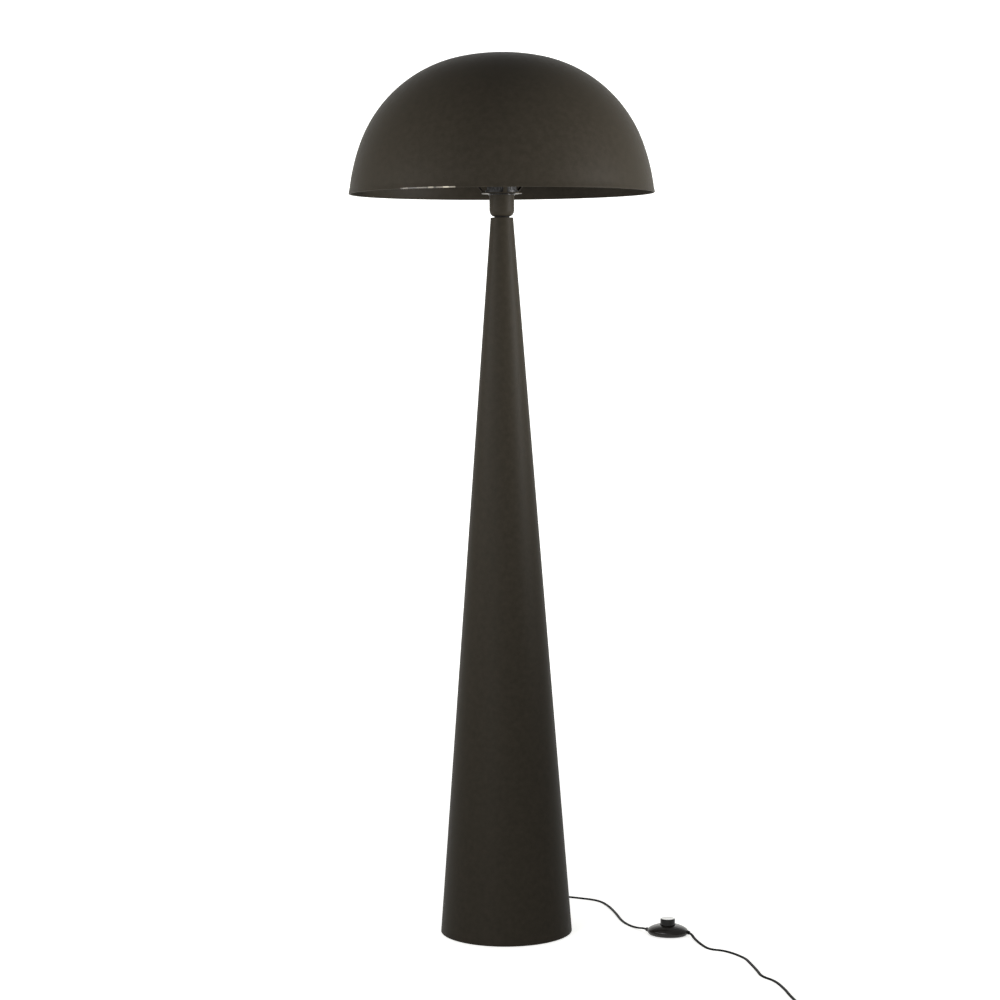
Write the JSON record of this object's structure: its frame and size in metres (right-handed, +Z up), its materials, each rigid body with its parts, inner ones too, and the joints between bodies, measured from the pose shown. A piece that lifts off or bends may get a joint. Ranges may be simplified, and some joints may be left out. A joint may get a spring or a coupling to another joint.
{
  "type": "mushroom floor lamp",
  "caption": "Tall floor lamp with a domed metal shade on a slender conical stem, an open screw lampholder, a foot switch in the flex and a two-pin plug.",
  "frame": {"origin": "middle of the round base on the floor, not counting the flex and what is on it", "axes": "+Z up the stem, -Y the front that the picture shows, +X to the picture's right"},
  "size_m": [0.7836, 0.8543, 1.5],
  "materials": {
    "lamp_paint": "fine-textured matt charcoal powder coat",
    "shade_paint": "spun aluminium under the same matt charcoal powder coat",
    "black_rubber": "matt black rubber",
    "zinc_steel": "bright zinc plate",
    "black_steel": "blackened steel",
    "cast_iron": "rough grey cast iron",
    "white_ceramic": "unglazed steatite",
    "black_gloss": "gloss black moulded thermoset",
    "nickel_brass": "nickel-plated brass",
    "switch_plastic": "satin charcoal moulded plastic",
    "button_plastic": "gloss charcoal moulded plastic",
    "spring_steel": "bright spring wire",
    "black_flex": "smooth black PVC sheath",
    "plug_plastic": "moulded black PVC"
  },
  "bodies": {
    "lamp": {"cone_body": "lamp_paint", "base_pad": "black_rubber", "base_plate": "zinc_steel", "ballast": "cast_iron", "base_brackets": "zinc_steel", "base_bolts": "zinc_steel", "cord_bush": "black_rubber", "stem_washer": "zinc_steel", "stem_nut": "zinc_steel", "cup_nut": "zinc_steel", "threaded_nipple": "zinc_steel", "neck_washer": "black_steel", "lampholder_cup": "lamp_paint", "terminal_block": "white_ceramic", "lampholder_body": "black_gloss", "screw_shell": "nickel_brass", "centre_contact": "nickel_brass", "terminal_screws": "nickel_brass", "shade_dome": "shade_paint", "shade_spider": "lamp_paint", "spider_arms": "lamp_paint", "shade_ring": "black_gloss", "switch_upper": "switch_plastic", "switch_lower": "switch_plastic", "button_spring": "spring_steel", "switch_feet": "black_rubber", "switch_screws": "zinc_steel", "switch_terminals": "nickel_brass", "switch_bush_out": "black_rubber", "switch_bush_in": "black_rubber", "inner_lead": "black_flex", "cord_lamp_to_switch": "black_flex", "cord_switch_to_coil": "black_flex", "cord_coil": "black_flex", "cord_coil_to_plug": "black_flex", "plug_body": "plug_plastic", "plug_pins": "nickel_brass"},
    "foot_button": {"switch_button": "button_plastic"}
  },
  "joints": [
    {"name": "button_press", "type": "slide", "parent": "lamp", "child": "foot_button", "axis": [0, 0, -1], "range_m": [0, 0.0035], "stiffness_N_per_m": 1800, "springref_m": -0.002, "deforming": ["button_spring"]}
  ]
}
